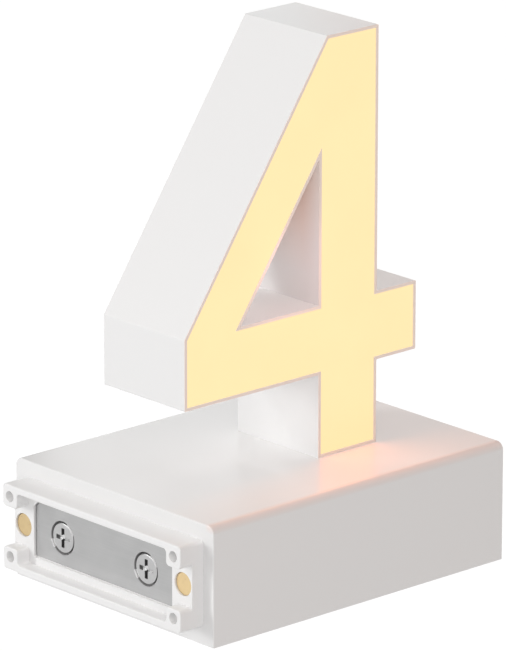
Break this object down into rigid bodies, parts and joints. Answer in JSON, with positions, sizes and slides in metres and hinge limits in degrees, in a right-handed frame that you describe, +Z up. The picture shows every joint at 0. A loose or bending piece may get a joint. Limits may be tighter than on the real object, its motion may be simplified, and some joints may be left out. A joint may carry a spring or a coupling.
{
  "type": "illuminated house number",
  "caption": "Lit numeral four on a rectangular white base with a coupling frame at one end, a matching socket at the other, an opal lens and a sprung-contact power feed.",
  "frame": {"origin": "middle of the base's underside, on the surface it stands on", "axes": "+Z up, the lit face looks along -Y, the coupling frame is at -X and the socket at +X"},
  "size_m": [0.1464, 0.1022, 0.193],
  "materials": {
    "white_shell": "satin moulded white, fine grain",
    "opal_lens": "opal acrylic, lit warm white",
    "silicone": "translucent silicone",
    "screw_steel": "zinc plated",
    "plate_steel": "satin zinc",
    "gold": "gold plated, satin",
    "brass": "turned brass",
    "spring_steel": "drawn wire",
    "board_white": "white solder mask",
    "board_green": "green solder mask",
    "led": "phosphor fill",
    "terminal": "moulded",
    "lead": "wire insulation",
    "rubber_black": "matt rubber",
    "ferrite": "ferrite",
    "can_aluminium": "drawn can",
    "chip_black": "moulded epoxy"
  },
  "bodies": {
    "block": {"digit_shell": "white_shell", "digit_lens": "opal_lens", "lens_seal": "silicone", "digit_back_panel": "white_shell", "back_panel_screws": "screw_steel", "led_board": "board_white", "led_packages": "led", "led_board_screws": "screw_steel", "led_terminal": "terminal", "led_lead": "lead", "lead_grommet": "rubber_black", "foot_seal": "silicone", "foot_inserts": "brass", "foot_backing_plate": "plate_steel", "digit_screws": "screw_steel", "base_shell": "white_shell", "base_plate": "white_shell", "base_plate_seal": "silicone", "base_plate_screws": "screw_steel", "fixing_inserts": "brass", "coupling_frame": "white_shell", "coupling_seal": "silicone", "coupling_plate": "plate_steel", "coupling_screws": "screw_steel", "coupling_nut_plate": "plate_steel", "contact_pads": "gold", "contact_pad_nuts": "brass", "socket_box": "white_shell", "socket_box_screws": "screw_steel", "plunger_barrels": "brass", "plunger_spring_front": "spring_steel", "plunger_spring_rear": "spring_steel", "driver_board": "board_green", "driver_board_screws": "screw_steel", "driver_inductor": "ferrite", "driver_capacitors": "can_aluminium", "driver_chips": "chip_black", "terminal_blocks": "terminal", "bus_leads_plug": "lead", "bus_leads_socket": "lead"},
    "plunger_front": {"contact_plunger_front": "gold"},
    "plunger_rear": {"contact_plunger_rear": "gold"}
  },
  "joints": [
    {"name": "plunger_front_slide", "type": "slide", "parent": "block", "child": "plunger_front", "axis": [-1, 0, 0], "range_m": [0, 0.0015], "stiffness_N_per_m": 300, "deforming": ["plunger_spring_front"]},
    {"name": "plunger_rear_slide", "type": "slide", "parent": "block", "child": "plunger_rear", "axis": [-1, 0, 0], "range_m": [0, 0.0015], "stiffness_N_per_m": 300, "deforming": ["plunger_spring_rear"]}
  ]
}
